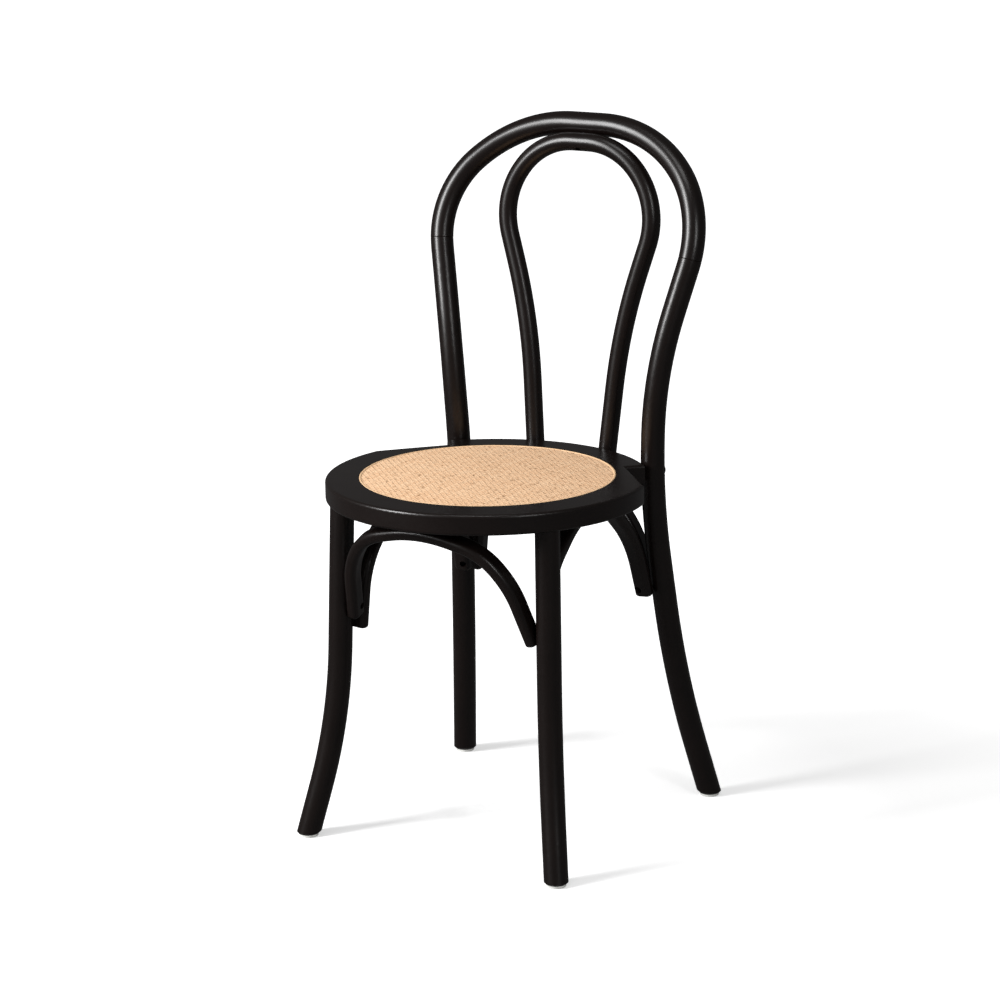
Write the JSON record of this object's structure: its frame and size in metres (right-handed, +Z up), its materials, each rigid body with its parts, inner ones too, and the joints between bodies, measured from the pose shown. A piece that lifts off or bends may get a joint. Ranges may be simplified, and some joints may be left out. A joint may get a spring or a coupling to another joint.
{
  "type": "bistro chair",
  "caption": "Bentwood bistro chair with a round woven rattan seat, a hoop back with an inner loop, and bent arches that brace the splayed legs.",
  "frame": {"origin": "on the floor, in the middle of the chair's overall width and length", "axes": "+Z up, -Y towards the front of the seat, +X to the sitter's left, which is the picture's right"},
  "size_m": [0.3986, 0.4636, 0.8628],
  "materials": {
    "black_wood": "black satin lacquer on steam-bent beech",
    "black_plywood": "black matt lacquer on plywood",
    "rattan": "natural woven rattan with a satin skin",
    "beech": "raw beech",
    "black_steel": "blackened steel",
    "zinc_steel": "zinc-plated steel",
    "glide_plastic": "pale grey moulded plastic"
  },
  "bodies": {
    "root": {"seat_ring": "black_wood", "seat_board": "black_plywood", "rattan_panel": "rattan", "seat_board_screws": "zinc_steel", "rear_leg_left": "black_wood", "rear_leg_right": "black_wood", "back_bow": "black_wood", "splice_dowels": "beech", "rear_leg_bolts": "black_steel", "bolt_washers": "black_steel", "barrel_nuts": "zinc_steel", "inner_loop": "black_wood", "loop_seat_screws": "black_steel", "loop_crown_screw": "black_steel", "front_leg_left": "black_wood", "front_leg_right": "black_wood", "arch_front": "black_wood", "arch_rear": "black_wood", "arch_left": "black_wood", "arch_right": "black_wood", "arch_leg_screws": "black_steel", "arch_seat_screws": "black_steel", "glide_front_left": "glide_plastic", "glide_front_right": "glide_plastic", "glide_rear_left": "glide_plastic", "glide_rear_right": "glide_plastic", "glide_nails": "zinc_steel"}
  },
  "joints": []
}
